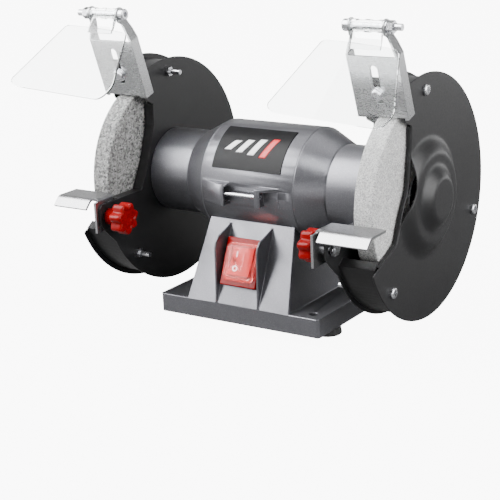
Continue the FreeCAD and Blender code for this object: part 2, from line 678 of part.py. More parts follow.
def spark_screw():
    shank = rod_y(2.45, GUARD_MID, SPARK_SCREW_S, -1.2, BRACKET_SHEET + SHEET + 6)
    head = rod_y(4.4, GUARD_MID, SPARK_SCREW_S, -4.2, -1.15)
    head = head.makeFillet(1.5, [e for e in head.Edges if e.BoundBox.YMax < -4])
    return at_bracket(fuse([shank, head]))


def spark_washer():
    washer = rod_y(5.8, GUARD_MID, SPARK_SCREW_S, -1.12, -0.1)
    return at_bracket(washer.cut(rod_y(2.5, GUARD_MID, SPARK_SCREW_S, -3, 3)))


def spark_nut():
    y0 = BRACKET_SHEET + 0.15 + SHEET
    nut = hexagon_x(8, 0, 4, 0, 0)
    nut.rotate(V(0, 0, 0), V(0, 0, 1), 90)
    nut.translate(V(GUARD_MID, y0, SPARK_SCREW_S))
    return at_bracket(nut.cut(rod_y(2.5, GUARD_MID, SPARK_SCREW_S, -3, 12)))


def pivot_place(shape):
    # drawn about the pivot bolt's axis
    moved = shape.copy()
    moved.translate(V(0, PIVOT_D, PIVOT_S))
    return at_bracket(moved)


def pivot_bolt():
    head = rod_x(4.4, GUARD_MID - 19.6, GUARD_MID - 14.65, 0, 0)
    head = head.makeFillet(1.0, [e for e in head.Edges if e.BoundBox.XMax < GUARD_MID - 19])
    socket = hexagon_x(4, GUARD_MID - 21, GUARD_MID - 17.2, 0, 0)
    shank = rod_x(2.48, GUARD_MID - 15, GUARD_MID + 26.5, 0, 0)
    return pivot_place(fuse([head.cut(socket), shank]))


def pivot_nut():
    nut = hexagon_x(8, GUARD_MID + 15.9, GUARD_MID + 20.5, 0, 0)
    washer = rod_x(4.55, GUARD_MID + 14.65, GUARD_MID + 15.6, 0, 0)
    bore = rod_x(2.5, GUARD_MID, GUARD_MID + 30, 0, 0)
    return pivot_place(group([nut.cut(bore), washer.cut(bore)]))


def pivot_point():
    a = math.radians(BRACKET_TILT)
    y = BRACKET_Y + PIVOT_D * math.cos(a) - PIVOT_S * math.sin(a)
    z = BRACKET_Z + PIVOT_D * math.sin(a) + PIVOT_S * math.cos(a)
    return y, z


def eye_shield(side):
    # a clear sheet hanging from its knuckle; outline: (x from the guard's middle, height below the pivot)
    mid = GUARD_MID if side == "right" else -GUARD_MID
    half = SHIELD_THICK / 2
    outline = [(-35, -11), (-12.2, -12.4), (12.2, -14.2), (26.5, -15.5), (28, -60), (19, -71),
               (-70, -65.5), (-77, -61)]
    ring = [V(mid + x, -half, z) for x, z in outline]
    ring.append(ring[0])
    sheet = Part.Face(Part.makePolygon(ring)).extrude(V(0, SHIELD_THICK, 0))
    tongue = box(mid - 12.2, mid + 12.2, -half, half, -18, 0)
    knuckle = rod_x(4.6, mid - 12.2, mid + 12.2, 0, 0)
    shield = fuse([sheet, tongue, knuckle]).cut(rod_x(2.53, mid - 20, mid + 20, 0, 0))
    y, z = pivot_point()
    return tilt(shield, SHIELD_TILT[side] - 90, y, z)


# Tool rests: a knob's span is its outer face, the end of its grip and the end of its neck

KNOB_SPAN = {"right": (79.5, 90.5, 94.8), "left": (81.0, 92.5, 101.2)}
KNOB_BLIND = 3.0
LOBES = 7
LOBE_CENTRE = 9.4

def bent_sheet(points, thickness, x0, x1):
    return prism_x(points + shifted(points, thickness)[::-1], x0, x1)


def tool_rest(side):
    # drawn for +X; the plate reaches in to the flange, which hangs beside the guard's tab
    flange_out = 97.0 if side == "right" else 104.9
    x_in = flange_out - REST_SHEET
    low_front = [(REST_FRONT, REST_TOP), (REST_FRONT - 6.6, REST_TOP - 6.6)]
    profile = [(REST_BACK, REST_TOP)] + low_front
    plate = bent_sheet(profile, REST_SHEET, x_in, REST_OUTER)
    front = REST_FRONT - FLANGE_AHEAD[side]
    flange = box(x_in, flange_out, front, REST_BACK - 1, SHAFT_Z - 30, REST_TOP)
    clear = box(x_in - 1, x_in + 5.5, REST_FRONT - 12, front, REST_TOP - 12, REST_TOP + 2)
    rest = fuse([plate.cut(clear), flange])
    rest = rest.makeFillet(1.9, [e for e in rest.Edges if on_top_bend(e, x_in)])
    return rest.cut(rod_x(STUD_R + 0.05, 80, 120, STUD_Y, STUD_Z))


def on_top_bend(edge, x_in):
    span = edge.BoundBox
    flat = abs(span.XMax - x_in) < 0.01 and span.ZMin > REST_TOP - 0.01
    return flat and span.YLength > 10


def rest_stud(side):
    x0 = KNOB_SPAN[side][0] + KNOB_BLIND + 0.1
    if side == "left":
        return rod_x(STUD_R, x0, 109, STUD_Y, STUD_Z)
    return fuse([rod_x(STUD_R, x0, 106.4, STUD_Y, STUD_Z), rod_x(5.5, 97.05, 101.2, STUD_Y, STUD_Z)])


def rest_nut(side):
    x0, x1 = (102.9, 105.9) if side == "right" else (105.0, 108.6)
    nut = hexagon_x(10, x0, x1, STUD_Y, STUD_Z)
    return nut.cut(rod_x(STUD_R + 0.02, 90, 120, STUD_Y, STUD_Z))


def rest_knob(side):
    # a seven-lobed grip with a neck towards the guard
    x0, x1, neck = KNOB_SPAN[side]
    core = rod_x(LOBE_CENTRE + 0.2, x0, x1, STUD_Y, STUD_Z)
    lobes = []
    for i in range(LOBES):
        a = 2 * math.pi * i / LOBES + 0.2
        y = STUD_Y + LOBE_CENTRE * math.cos(a)
        z = STUD_Z + LOBE_CENTRE * math.sin(a)
        lobes.append(rod_x(KNOB_R - LOBE_CENTRE, x0, x1, y, z))
    grip = fuse([core] + lobes)
    grip = grip.makeFillet(1.2, [e for e in grip.Edges if e.BoundBox.XLength < 0.01])
    grip = fuse([grip, rod_x(6.5, x1 - 1, neck, STUD_Y, STUD_Z)])
    return grip.cut(rod_x(STUD_R + 0.02, x0 + KNOB_BLIND, 110, STUD_Y, STUD_Z))


# Assembly

parts["base_housing"] = base_housing()
parts["bottom_plate"] = bottom_plate()
parts["rubber_feet"] = group([rubber_foot(x, y) for x, y in FEET])
parts["foot_screws"] = group([foot_screw(x, y) for x, y in FEET])
parts["cable_gland"] = cable_gland()
parts["switch_body"] = switch_body()
parts["switch_bezel"] = switch_bezel()
parts["switch_boot"] = switch_boot()
parts["switch_rocker"] = switch_rocker()
parts["run_capacitor"] = run_capacitor()
parts["capacitor_clip"] = capacitor_clip()
parts["terminal_block"] = terminal_block()

parts["motor_housing"] = motor_housing()
parts["motor_screws"] = group([motor_screw(x, y) for x, y in MOTOR_SCREWS])
parts["front_rod"] = rod_x(ROD_R, *ROD_ENDS, ROD_Y, ROD_Z)
parts["nameplate"] = nameplate()
parts["right_end_bell"] = end_bell()
parts["left_end_bell"] = mirrored(parts["right_end_bell"])
parts["bell_screws"] = both_sides(bell_screw())
parts["stator_core"] = stator_core()
parts["stator_windings"] = stator_windings()
parts["rotor_core"] = rotor_core()
parts["motor_shaft"] = motor_shaft()
parts["bearing_outer_rings"] = both_sides(bearing_ring(14.2, BEARING_R - 0.02, 3.03))
parts["bearing_inner_rings"] = both_sides(bearing_ring(SHAFT_BEARING_R + 0.02, 10.8, 3.03))
parts["bearing_balls"] = bearing_balls()

parts["right_wheel"] = wheel()
parts["left_wheel"] = mirrored(parts["right_wheel"])
blotters = [washer_x(24, ARBOR_R + 0.1, 110.82, 111.58), washer_x(24, ARBOR_R + 0.1, 127.52, 128.28)]
parts["wheel_blotters"] = group(blotters + [mirrored(b) for b in blotters])
parts["inner_flanges"] = both_sides(inner_flange())
parts["outer_flanges"] = both_sides(outer_flange())
parts["arbor_nuts"] = both_sides(arbor_nut())

parts["right_inner_guard"] = inner_guard()
parts["left_inner_guard"] = mirrored(parts["right_inner_guard"])
parts["right_outer_cover"] = outer_cover()
parts["left_outer_cover"] = mirrored(parts["right_outer_cover"])
screws = [cover_screw(a) for a in COVER_SCREW_ANGLES]
parts["cover_screws"] = group(screws + [mirrored(s) for s in screws])
nuts = [cover_nut(a) for a in COVER_SCREW_ANGLES]
parts["cover_nuts"] = group(nuts + [mirrored(n) for n in nuts])
screws = [guard_screw(a) for a in (90, 210, 330)]
parts["guard_screws"] = group(screws + [mirrored(s) for s in screws])

parts["spark_screws"] = both_sides(spark_screw())
parts["spark_washers"] = both_sides(spark_washer())
parts["spark_nuts"] = both_sides(spark_nut())
for side in ("right", "left"):
    made = {"spark_bracket": spark_bracket(), "pivot_bolt": pivot_bolt(), "pivot_nut": pivot_nut(),
            "tool_rest": tool_rest(side), "rest_stud": rest_stud(side), "rest_nut": rest_nut(side),
            "rest_knob": rest_knob(side)}
    for name, shape in made.items():
        parts[side + "_" + name] = shape if side == "right" else mirrored(shape)
    parts[side + "_eye_shield"] = eye_shield(side)

os.makedirs("parts", exist_ok=True)
for name, shape in parts.items():
    solids = shape.Solids
    bad = [s for s in solids if not s.isValid() or s.Volume <= 0]
    print(name, "solids", len(solids), "volume %.1f" % shape.Volume, "BAD" if bad or not solids else "")
    shape.exportStep("parts/" + name + ".step")
print(len(parts), "nodes")
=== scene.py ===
import json
import math
import bmesh
import bpy
import numpy as np
from mathutils import Matrix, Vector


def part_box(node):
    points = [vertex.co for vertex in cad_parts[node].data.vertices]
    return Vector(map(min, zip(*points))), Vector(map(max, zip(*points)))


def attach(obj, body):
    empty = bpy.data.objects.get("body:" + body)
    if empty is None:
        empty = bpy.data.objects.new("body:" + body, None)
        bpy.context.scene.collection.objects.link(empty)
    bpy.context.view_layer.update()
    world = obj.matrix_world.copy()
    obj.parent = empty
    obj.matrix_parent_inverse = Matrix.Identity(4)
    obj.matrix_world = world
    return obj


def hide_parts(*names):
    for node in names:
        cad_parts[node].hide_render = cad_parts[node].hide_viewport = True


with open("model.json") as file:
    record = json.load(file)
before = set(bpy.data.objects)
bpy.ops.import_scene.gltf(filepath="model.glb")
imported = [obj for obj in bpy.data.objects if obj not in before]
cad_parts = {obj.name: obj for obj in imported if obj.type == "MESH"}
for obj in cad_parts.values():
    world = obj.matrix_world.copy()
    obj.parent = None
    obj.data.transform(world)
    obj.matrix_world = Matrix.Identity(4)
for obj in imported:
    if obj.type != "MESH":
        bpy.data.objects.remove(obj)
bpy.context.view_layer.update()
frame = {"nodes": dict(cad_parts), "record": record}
nodes = frame["nodes"]
mm = 0.001

# Shared places, in metres
shaftZ = 0.5 * (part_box("motor_shaft")[0][2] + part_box("motor_shaft")[1][2])
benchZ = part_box("rubber_feet")[0][2]
print("frame loaded:", len(nodes), "nodes")

# Camera, light and floor

view = {"place": (0.6037, -0.9240, 0.3612), "yaw": 0.601, "pitch": -0.291, "roll": -0.046,
        "lens": 103.05, "shiftY": -0.0053}
studio = {"floorHalf": 6.0, "floorColour": (0.12, 0.12, 0.12), "floorGlow": 9.0, "backdrop": 12.0,
          "skyTop": 0.50, "skySide": 0.07, "skyLow": 0.02}
# place and size in metres, power in watts
lamps = {"keySoftbox": ((-0.72, -0.62, 1.05), (1.1, 1.5), 78),
         "topSoftbox": ((0.1, 0.5, 1.6), (1.6, 1.0), 10),
         "rightSoftbox": ((1.45, 0.0, 0.62), (1.4, 1.1), 48),
         "backCard": ((0.80, 1.22, 0.10), (1.3, 0.5), 7),
         "backLeftCard": ((-0.75, 1.15, 0.40), (0.9, 0.5), 1.2),
         "frontCard": ((0.75, -1.15, 0.10), (0.8, 0.5), 5),
         "leftCard": ((-0.62, -0.55, 0.16), (0.5, 0.4), 1.6)}


def placeCamera():
    data = bpy.data.cameras.new("camera")
    data.lens = view["lens"]
    data.sensor_width = 36.0
    data.shift_y = view["shiftY"]
    data.clip_end = 50.0
    eye = bpy.data.objects.new("camera", data)
    bpy.context.scene.collection.objects.link(eye)
    yaw, pitch, roll = view["yaw"], view["pitch"], view["roll"]
    level = math.cos(pitch)
    ahead = np.array([-math.sin(yaw) * level, math.cos(yaw) * level, math.sin(pitch)])
    side = np.array([math.cos(yaw), math.sin(yaw), 0.0])
    above = np.cross(side, ahead)
    sideR = math.cos(roll) * side + math.sin(roll) * above
    aboveR = -math.sin(roll) * side + math.cos(roll) * above
    turn = np.eye(4)
    turn[:3, 0], turn[:3, 1], turn[:3, 2], turn[:3, 3] = sideR, aboveR, -ahead, view["place"]
    eye.matrix_world = Matrix(turn.tolist())
    bpy.context.scene.camera = eye


def addLight(name, place, target, size, power):
    data = bpy.data.lights.new(name, "AREA")
    data.shape = "RECTANGLE"
    data.size, data.size_y = size
    data.energy = power
    lamp = bpy.data.objects.new(name, data)
    bpy.context.scene.collection.objects.link(lamp)
    ahead = np.array(target, float) - np.array(place, float)
    ahead /= np.linalg.norm(ahead)
    side = np.cross(ahead, (0, 0, 1))
    side /= np.linalg.norm(side)
    turn = np.eye(4)
    turn[:3, 0], turn[:3, 1], turn[:3, 2], turn[:3, 3] = side, np.cross(side, ahead), -ahead, place
    lamp.matrix_world = Matrix(turn.tolist())


def seenFactor(tree, path):
    # the backdrop is bright where it is looked at, straight on or through a clear part,
    # and dim as a light
    either = tree.nodes.new("ShaderNodeMath")
    either.operation = "MAXIMUM"
    tree.links.new(path.outputs["Is Camera Ray"], either.inputs[0])
    tree.links.new(path.outputs["Is Transmission Ray"], either.inputs[1])
    return either.outputs[0]


def lightStudio():
    world = bpy.data.worlds.new("studio")
    bpy.context.scene.world = world
    world.use_nodes = True
    tree = world.node_tree
    tree.nodes.clear()
    out = tree.nodes.new("ShaderNodeOutputWorld")
    seen = tree.nodes.new("ShaderNodeBackground")
    sky = tree.nodes.new("ShaderNodeBackground")
    mix = tree.nodes.new("ShaderNodeMixShader")
    path = tree.nodes.new("ShaderNodeLightPath")
    coords = tree.nodes.new("ShaderNodeTexCoord")
    split = tree.nodes.new("ShaderNodeSeparateXYZ")
    ramp = tree.nodes.new("ShaderNodeValToRGB")
    tree.links.new(coords.outputs["Generated"], split.inputs[0])
    lift = tree.nodes.new("ShaderNodeMapRange")
    lift.inputs["From Min"].default_value = -1.0
    tree.links.new(split.outputs["Z"], lift.inputs["Value"])
    tree.links.new(lift.outputs[0], ramp.inputs[0])
    stops = [(0.0, studio["skyLow"]), (0.45, studio["skyLow"]), (0.56, studio["skySide"]),
             (0.9, studio["skyTop"])]
    while len(ramp.color_ramp.elements) < len(stops):
        ramp.color_ramp.elements.new(0.5)
    for stop, (place, grey) in zip(ramp.color_ramp.elements, stops):
        stop.position = place
        stop.color = (grey, grey, grey, 1)
    seen.inputs["Color"].default_value = (1, 1, 1, 1)
    seen.inputs["Strength"].default_value = studio["backdrop"]
    tree.links.new(ramp.outputs[0], sky.inputs["Color"])
    sky.inputs["Strength"].default_value = 1.0
    tree.links.new(seenFactor(tree, path), mix.inputs[0])
    tree.links.new(sky.outputs[0], mix.inputs[1])
    tree.links.new(seen.outputs[0], mix.inputs[2])
    tree.links.new(mix.outputs[0], out.inputs["Surface"])
    for name, (place, size, power) in lamps.items():
        addLight(name, place, (0, 0, shaftZ), size, power)


def layFloor():
    half = studio["floorHalf"]
    data = bpy.data.meshes.new("floor")
    corners = [(x * half, y * half, benchZ) for x, y in ((-1, -1), (1, -1), (1, 1), (-1, 1))]
    data.from_pydata(corners, [], [(0, 1, 2, 3)])
    floor = bpy.data.objects.new("floor", data)
    bpy.context.scene.collection.objects.link(floor)
    mat = bpy.data.materials.new("paleFloor")
    mat.use_nodes = True
    tree = mat.node_tree
    shader = tree.nodes["Principled BSDF"]
    shader.inputs["Base Color"].default_value = (*studio["floorColour"], 1)
    shader.inputs["Roughness"].default_value = 0.8
    shader.inputs["Emission Color"].default_value = (1, 1, 1, 1)
    path = tree.nodes.new("ShaderNodeLightPath")
    glow = tree.nodes.new("ShaderNodeMath")
    glow.operation = "MULTIPLY"
    glow.inputs[1].default_value = studio["floorGlow"]
    tree.links.new(seenFactor(tree, path), glow.inputs[0])
    tree.links.new(glow.outputs[0], shader.inputs["Emission Strength"])
    data.materials.append(mat)


placeCamera()
lightStudio()
layFloor()
print("camera, light and floor placed")

# Materials


def startMaterial(name, colour, rough, metal=0.0):
    mat = bpy.data.materials.new(name)
    mat.use_nodes = True
    tree = mat.node_tree
    shader = tree.nodes["Principled BSDF"]
    shader.inputs["Base Color"].default_value = (*colour, 1)
    shader.inputs["Roughness"].default_value = rough
    shader.inputs["Metallic"].default_value = metal
    coords = tree.nodes.new("ShaderNodeTexCoord")
    return mat, tree, shader, coords.outputs["Object"]


def addNoise(tree, coords, scale, detail=3.0, stretch=(1, 1, 1)):
    spread = tree.nodes.new("ShaderNodeMapping")
    spread.inputs["Scale"].default_value = stretch
    tree.links.new(coords, spread.inputs["Vector"])
    noise = tree.nodes.new("ShaderNodeTexNoise")
    noise.inputs["Scale"].default_value = scale
    noise.inputs["Detail"].default_value = detail
    tree.links.new(spread.outputs[0], noise.inputs["Vector"])
    return noise.outputs["Fac"]


def addGrains(tree, coords, scale, feature="F1"):
    grains = tree.nodes.new("ShaderNodeTexVoronoi")
    grains.feature = feature
    grains.inputs["Scale"].default_value = scale
    tree.links.new(coords, grains.inputs["Vector"])
    return grains


def toRange(tree, value, low, high, fromLow=0.3, fromHigh=0.7):
    node = tree.nodes.new("ShaderNodeMapRange")
    node.inputs["From Min"].default_value = fromLow
    node.inputs["From Max"].default_value = fromHigh
    node.inputs["To Min"].default_value = low
    node.inputs["To Max"].default_value = high
    tree.links.new(value, node.inputs["Value"])
    return node.outputs[0]


def blendColours(tree, factor, first, second):
    mix = tree.nodes.new("ShaderNodeMix")
    mix.data_type = "RGBA"
    tree.links.new(factor, mix.inputs["Factor"])
    for socket, colour in ((mix.inputs["A"], first), (mix.inputs["B"], second)):
        if isinstance(colour, tuple):
            socket.default_value = (*colour, 1)
        else:
            tree.links.new(colour, socket)
    return mix.outputs["Result"]


def paint(tree, shader, factor, first, second):
    tree.links.new(blendColours(tree, factor, first, second), shader.inputs["Base Color"])


def roughen(tree, shader, value, low, high, fromLow=0.3, fromHigh=0.7):
    rough = toRange(tree, value, low, high, fromLow, fromHigh)
    tree.links.new(rough, shader.inputs["Roughness"])


def addBump(tree, shader, heights):
    # heights: (value, strength, distance) from the coarsest to the finest
    last = None
    for value, strength, distance in heights:
        bump = tree.nodes.new("ShaderNodeBump")
        bump.inputs["Strength"].default_value = strength
        bump.inputs["Distance"].default_value = distance
        tree.links.new(value, bump.inputs["Height"])
        if last is not None:
            tree.links.new(last, bump.inputs["Normal"])
        last = bump.outputs["Normal"]
    tree.links.new(last, shader.inputs["Normal"])


def greyEnamel():
    look = {"colour": (0.135, 0.135, 0.148), "fleck": (0.24, 0.24, 0.25), "rough": (0.30, 0.40)}
    mat, tree, shader, coords = startMaterial("greyEnamel", look["colour"], 0.35, 0.8)
    fleck = addGrains(tree, coords, 2600.0)
    cloud = addNoise(tree, coords, 60.0, 4.0)
    peel = addNoise(tree, coords, 420.0, 2.0)
    factor = toRange(tree, fleck.outputs["Color"], 0.0, 0.5, 0.55, 1.0)
    paint(tree, shader, factor, look["colour"], look["fleck"])
    roughen(tree, shader, cloud, *look["rough"])
    addBump(tree, shader, [(cloud, 0.05, 0.0006), (peel, 0.10, 0.0002)])
    return mat


def blackPowder():
    look = {"colour": (0.0075, 0.0075, 0.0081), "dust": (0.0115, 0.0115, 0.0121),
            "rough": (0.34, 0.44)}
    mat, tree, shader, coords = startMaterial("blackPowder", look["colour"], 0.42)
    cloud = addNoise(tree, coords, 35.0, 4.0)
    grain = addNoise(tree, coords, 900.0, 2.0)
    paint(tree, shader, cloud, look["colour"], look["dust"])
    roughen(tree, shader, grain, *look["rough"])
    shader.inputs["Specular IOR Level"].default_value = 0.30
    addBump(tree, shader, [(grain, 0.12, 0.0002)])
    return mat


def zincPlate():
    look = {"colour": (0.47, 0.475, 0.48), "tint": (0.40, 0.405, 0.415), "rough": (0.24, 0.32)}
    mat, tree, shader, coords = startMaterial("zincPlate", look["colour"], 0.26, 1.0)
    patch = addNoise(tree, coords, 45.0, 3.0)
    brush = addNoise(tree, coords, 260.0, 3.0, (1, 7, 7))
    paint(tree, shader, patch, look["colour"], look["tint"])
    roughen(tree, shader, brush, *look["rough"])
    addBump(tree, shader, [(brush, 0.02, 0.0001)])
    return mat


def rubbedSteel():
    look = {"colour": (0.40, 0.40, 0.41), "tint": (0.32, 0.32, 0.33), "rough": (0.26, 0.34)}
    mat, tree, shader, coords = startMaterial("rubbedSteel", look["colour"], 0.2, 1.0)
    patch = addNoise(tree, coords, 30.0, 3.0)
    brush = addNoise(tree, coords, 300.0, 3.0, (1, 8, 8))
    paint(tree, shader, patch, look["colour"], look["tint"])
    roughen(tree, shader, brush, *look["rough"])
    addBump(tree, shader, [(brush, 0.015, 0.0001)])
    return mat


def brightSteel():
    look = {"colour": (0.66, 0.66, 0.67), "tint": (0.52, 0.53, 0.56), "rough": (0.18, 0.32)}
    mat, tree, shader, coords = startMaterial("brightSteel", look["colour"], 0.24, 1.0)
    patch = addNoise(tree, coords, 220.0, 3.0)
    paint(tree, shader, patch, look["colour"], look["tint"])
    roughen(tree, shader, patch, *look["rough"])
    addBump(tree, shader, [(patch, 0.02, 0.0001)])
    return mat


def redMoulding():
    look = {"colour": (0.20, 0.0005, 0.0010), "deep": (0.15, 0.0003, 0.0007), "rough": (0.16, 0.24)}
    mat, tree, shader, coords = startMaterial("redMoulding", look["colour"], 0.24)
    cloud = addNoise(tree, coords, 90.0, 3.0)
    paint(tree, shader, cloud, look["colour"], look["deep"])
    roughen(tree, shader, cloud, *look["rough"])
    shader.inputs["Specular IOR Level"].default_value = 0.14
    addBump(tree, shader, [(cloud, 0.04, 0.0003)])
    return mat


def clearSheet():
    look = {"colour": (0.74, 0.75, 0.75), "rough": (0.0, 0.012)}
    mat, tree, shader, coords = startMaterial("clearSheet", look["colour"], 0.03)
    smear = addNoise(tree, coords, 25.0, 5.0)
    shader.inputs["Transmission Weight"].default_value = 1.0
    shader.inputs["IOR"].default_value = 1.35
    roughen(tree, shader, smear, *look["rough"])
    return mat


def clearVinyl():
    look = {"colour": (0.92, 0.44, 0.42), "rough": (0.08, 0.16)}
    mat, tree, shader, coords = startMaterial("clearVinyl", look["colour"], 0.24)
    cloud = addNoise(tree, coords, 120.0, 3.0)
    shader.inputs["Transmission Weight"].default_value = 0.93
    shader.inputs["IOR"].default_value = 1.18
    roughen(tree, shader, cloud, *look["rough"])
    addBump(tree, shader, [(cloud, 0.08, 0.0003)])
    return mat


def blackMoulding():
    look = {"colour": (0.022, 0.022, 0.023), "rough": (0.42, 0.60)}
    mat, tree, shader, coords = startMaterial("blackMoulding", look["colour"], 0.5)
    grain = addNoise(tree, coords, 700.0, 3.0)
    roughen(tree, shader, grain, *look["rough"])
    addBump(tree, shader, [(grain, 0.15, 0.0002)])
    return mat


def labelFilm():
    look = {"colour": (0.004, 0.004, 0.0045), "haze": (0.008, 0.008, 0.009), "rough": (0.34, 0.42)}
    mat, tree, shader, coords = startMaterial("labelFilm", look["colour"], 0.14)
    cloud = addNoise(tree, coords, 50.0, 3.0)
    paint(tree, shader, cloud, look["colour"], look["haze"])
    roughen(tree, shader, cloud, *look["rough"])
    shader.inputs["Specular IOR Level"].default_value = 0.12
    return mat


def mouldedRubber():
    look = {"colour": (0.018, 0.018, 0.018), "rough": (0.62, 0.82)}
    mat, tree, shader, coords = startMaterial("mouldedRubber", look["colour"], 0.72)
    grain = addNoise(tree, coords, 500.0, 4.0)
    roughen(tree, shader, grain, *look["rough"])
    addBump(tree, shader, [(grain, 0.25, 0.0003)])
    return mat


def abrasive(name, look):
    # crystals of three greys in a darker bond: cells of random tone with pits between them
    mat, tree, shader, coords = startMaterial(name, look["mid"], 0.85)
    cells = addGrains(tree, coords, look["grain"])
    fine = addGrains(tree, coords, look["grain"] * 2.3)
    cloud = addNoise(tree, coords, 40.0, 3.0)
    tone = toRange(tree, cells.outputs["Color"], 0.0, 1.0, 0.15, 0.85)
    body = blendColours(tree, tone, look["dark"], look["light"])
    soft = toRange(tree, fine.outputs["Color"], 0.0, 0.55, 0.2, 0.9)
    colour = blendColours(tree, soft, body, look["mid"])
    tree.links.new(colour, shader.inputs["Base Color"])
    roughen(tree, shader, cells.outputs["Color"], 0.55, 0.95, 0.0, 1.0)
    addBump(tree, shader, [(cloud, 0.10, 0.0008), (cells.outputs["Distance"], 0.7, look["pit"]),
                           (fine.outputs["Distance"], 0.4, look["pit"] * 0.5)])
    return mat


def lamination():
    look = {"colour": (0.20, 0.20, 0.21), "line": (0.10, 0.10, 0.11)}
    mat, tree, shader, coords = startMaterial("lamination", look["colour"], 0.45, 0.9)
    layers = tree.nodes.new("ShaderNodeTexWave")
    layers.bands_direction = "X"
    layers.inputs["Scale"].default_value = 320.0
    tree.links.new(coords, layers.inputs["Vector"])
    paint(tree, shader, layers.outputs["Fac"], look["line"], look["colour"])
    addBump(tree, shader, [(layers.outputs["Fac"], 0.3, 0.0002)])
    return mat


def copperWire():
    look = {"colour": (0.55, 0.20, 0.07), "deep": (0.32, 0.10, 0.03)}
    mat, tree, shader, coords = startMaterial("copperWire", look["colour"], 0.3, 0.9)
    turns = tree.nodes.new("ShaderNodeTexWave")
    turns.bands_direction = "DIAGONAL"
    turns.inputs["Scale"].default_value = 300.0
    turns.inputs["Distortion"].default_value = 2.0
    tree.links.new(coords, turns.inputs["Vector"])
    paint(tree, shader, turns.outputs["Fac"], look["deep"], look["colour"])
    addBump(tree, shader, [(turns.outputs["Fac"], 0.6, 0.0004)])
    return mat


def groundSteel():
    mat, tree, shader, coords = startMaterial("groundSteel", (0.62, 0.62, 0.64), 0.14, 1.0)
    haze = addNoise(tree, coords, 300.0, 2.0)
    roughen(tree, shader, haze, 0.10, 0.20)
    return mat


def drawnCan():
    mat, tree, shader, coords = startMaterial("drawnCan", (0.62, 0.62, 0.63), 0.32, 1.0)
    draw = addNoise(tree, coords, 120.0, 4.0, (0.2, 6, 6))
    roughen(tree, shader, draw, 0.25, 0.42)
    addBump(tree, shader, [(draw, 0.1, 0.0002)])
    return mat


def pressedCard():
    look = {"colour": (0.40, 0.34, 0.26), "fibre": (0.30, 0.25, 0.19)}
    mat, tree, shader, coords = startMaterial("pressedCard", look["colour"], 0.85)
    fibre = addNoise(tree, coords, 500.0, 5.0)
    paint(tree, shader, fibre, look["colour"], look["fibre"])
    addBump(tree, shader, [(fibre, 0.3, 0.0003)])
    return mat


fineWheel = {"light": (0.60, 0.60, 0.59), "mid": (0.40, 0.40, 0.40), "dark": (0.16, 0.16, 0.16),
             "grain": 1300.0, "pit": 0.0004}
coarseWheel = {"light": (0.36, 0.36, 0.35), "mid": (0.14, 0.14, 0.14), "dark": (0.02, 0.02, 0.02),
               "grain": 750.0, "pit": 0.0006}
finishes = {"grey_paint": greyEnamel(), "black_paint": blackPowder(), "zinc": zincPlate(),
            "steel": brightSteel(), "red_plastic": redMoulding(),
            "clear_plastic": clearSheet(), "clear_vinyl": clearVinyl(),
            "black_plastic": blackMoulding(), "label_film": labelFilm(), "rubber": mouldedRubber(),
            "fine_abrasive": abrasive("fineAbrasive", fineWheel),
            "coarse_abrasive": abrasive("coarseAbrasive", coarseWheel), "copper": copperWire(),
            "lamination": lamination(), "bearing_steel": groundSteel(), "can_aluminium": drawnCan(),
            "card": pressedCard()}
slotOf = {part["node"]: part["material_slot"] for part in frame["record"]["subparts"]}
for name, part in nodes.items():
    part.data.materials.clear()
    part.data.materials.append(finishes[slotOf[name]])
print("materials made:", len(finishes))

# Edges of pressed and cast parts, rounded on a copy of the part


def finishPiece(name, data, slotName, body, replaced=()):
    piece = bpy.data.objects.new(name, data)
    bpy.context.scene.collection.objects.link(piece)
    data.materials.clear()
    data.materials.append(finishes[slotName])
    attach(piece, body)
    if replaced:
        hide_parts(*replaced)
    return piece


def bodyOf(nodeName):
    bodies = frame["record"]["behaviour"]["bodies"]
    return [body for body, members in bodies.items() if nodeName in members][0]


def roundedCopy(nodeName, width, smooth):
    # the node's own mesh, merged, with a small radius on each edge sharper than sharpAngle
    work = bmesh.new()
    work.from_mesh(nodes[nodeName].data)
    bmesh.ops.remove_doubles(work, verts=work.verts, dist=0.002 * mm)
    bmesh.ops.dissolve_limit(work, angle_limit=math.radians(0.6), verts=work.verts,
                             edges=work.edges)
    # wide faces with many corners are split again: they fold over themselves once rounded
    wide = [face for face in work.faces if len(face.verts) > 4]
    bmesh.ops.triangulate(work, faces=wide, ngon_method="BEAUTY")
    data = bpy.data.meshes.new(nodeName + "_rounded")
    work.to_mesh(data)
    work.free()
    data.polygons.foreach_set("use_smooth", np.full(len(data.polygons), smooth))
    piece = finishPiece(nodeName + "_rounded", data, slotOf[nodeName], bodyOf(nodeName),
                        (nodeName,))
    bevel = piece.modifiers.new("edges", "BEVEL")
    bevel.width = width * mm
    bevel.segments = 2
    bevel.limit_method = "ANGLE"
    bevel.angle_limit = math.radians(sharpAngle)
    bevel.use_clamp_overlap = False
    bevel.harden_normals = smooth
    return piece


# radius in millimetres, and whether the part is shaded smooth
sharpAngle = 32.0
roundings = {"base_housing": (0.7, False), "motor_housing": (0.4, True),
             "right_spark_bracket": (0.3, False), "left_spark_bracket": (0.3, False),
             "right_inner_guard": (0.25, False), "left_inner_guard": (0.25, False)}
for name, (width, smooth) in roundings.items():
    roundedCopy(name, width, smooth)
print("rounded parts:", len(roundings))

# Surfaces on a grid of two parameters


def gridFaces(rows, columns, closeRows, closeColumns):
    # quads between neighbouring rows and columns, wrapped round where a direction is closed
    r = np.arange(rows if closeRows else rows - 1)[:, None]
    c = np.arange(columns if closeColumns else columns - 1)[None, :]
    r2, c2 = (r + 1) % rows, (c + 1) % columns
    quads = np.stack([r * columns + c, r * columns + c2, r2 * columns + c2, r2 * columns + c],
                     axis=-1)
    return quads.reshape(-1, 4)


